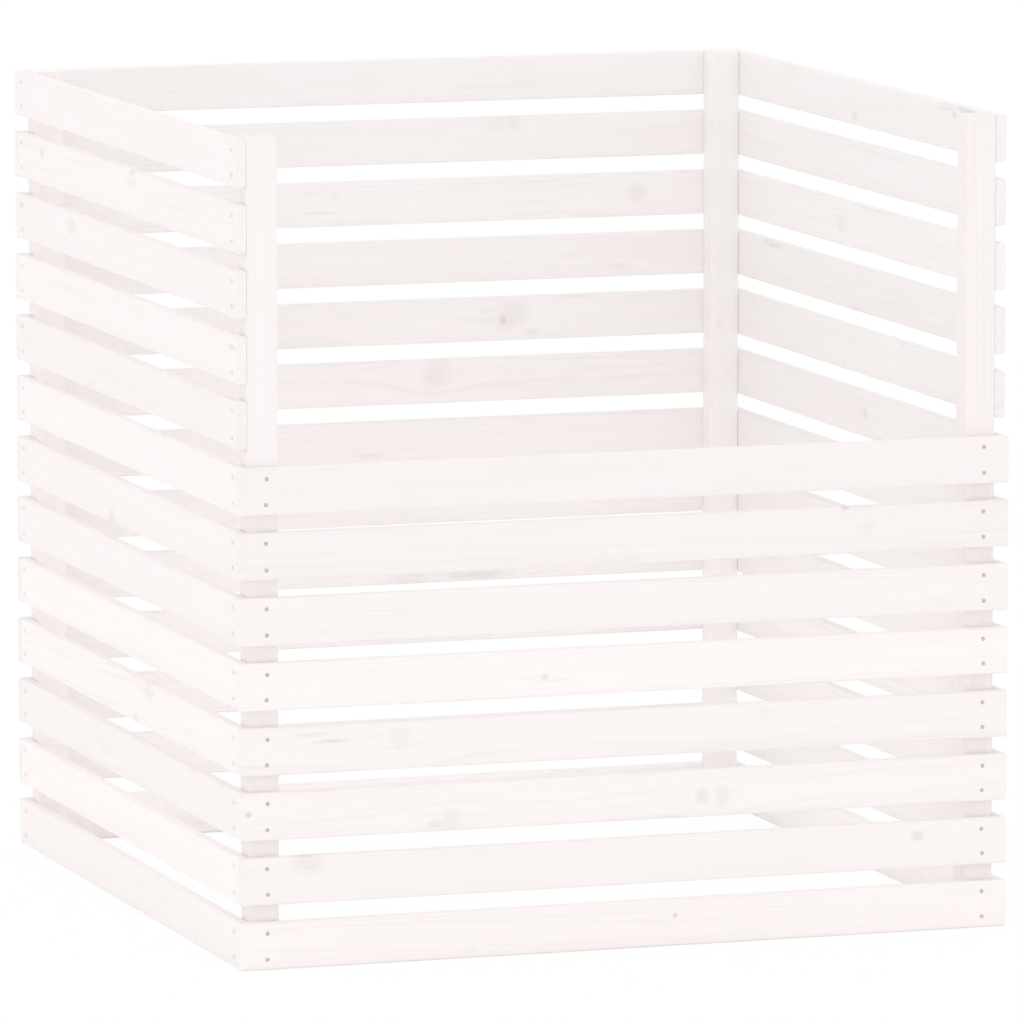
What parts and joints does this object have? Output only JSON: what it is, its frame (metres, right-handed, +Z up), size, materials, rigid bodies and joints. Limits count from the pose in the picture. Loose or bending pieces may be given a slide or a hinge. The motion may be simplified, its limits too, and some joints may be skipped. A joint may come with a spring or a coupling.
{
  "type": "wooden compost bin",
  "caption": "Square slatted compost bin with inside corner posts, full-height left, right and back walls, a lower front wall for loading, and an open top and bottom.",
  "frame": {"origin": "on the ground, in the middle of the footprint", "axes": "+Z up, +X to the right along the front, the low front wall faces -Y"},
  "size_m": [1, 1, 1.019],
  "materials": {
    "slat_paint": "thin white paint over planed pine, faint grain and knots, matt",
    "post_paint": "thin white paint over planed pine, faint upright grain, matt"
  },
  "bodies": {
    "root": {"post_front_left": "post_paint", "post_front_right": "post_paint", "post_back_left": "post_paint", "post_back_right": "post_paint", "left_slat_01": "slat_paint", "left_slat_02": "slat_paint", "left_slat_03": "slat_paint", "left_slat_04": "slat_paint", "left_slat_05": "slat_paint", "left_slat_06": "slat_paint", "left_slat_07": "slat_paint", "left_slat_08": "slat_paint", "left_slat_09": "slat_paint", "left_slat_10": "slat_paint", "left_slat_11": "slat_paint", "left_slat_12": "slat_paint", "left_slat_13": "slat_paint", "right_slat_01": "slat_paint", "right_slat_02": "slat_paint", "right_slat_03": "slat_paint", "right_slat_04": "slat_paint", "right_slat_05": "slat_paint", "right_slat_06": "slat_paint", "right_slat_07": "slat_paint", "right_slat_08": "slat_paint", "right_slat_09": "slat_paint", "right_slat_10": "slat_paint", "right_slat_11": "slat_paint", "right_slat_12": "slat_paint", "right_slat_13": "slat_paint", "back_slat_01": "slat_paint", "back_slat_02": "slat_paint", "back_slat_03": "slat_paint", "back_slat_04": "slat_paint", "back_slat_05": "slat_paint", "back_slat_06": "slat_paint", "back_slat_07": "slat_paint", "back_slat_08": "slat_paint", "back_slat_09": "slat_paint", "back_slat_10": "slat_paint", "back_slat_11": "slat_paint", "back_slat_12": "slat_paint", "back_slat_13": "slat_paint", "front_slat_01": "slat_paint", "front_slat_02": "slat_paint", "front_slat_03": "slat_paint", "front_slat_04": "slat_paint", "front_slat_05": "slat_paint", "front_slat_06": "slat_paint", "front_slat_07": "slat_paint", "front_slat_08": "slat_paint"}
  },
  "joints": []
}
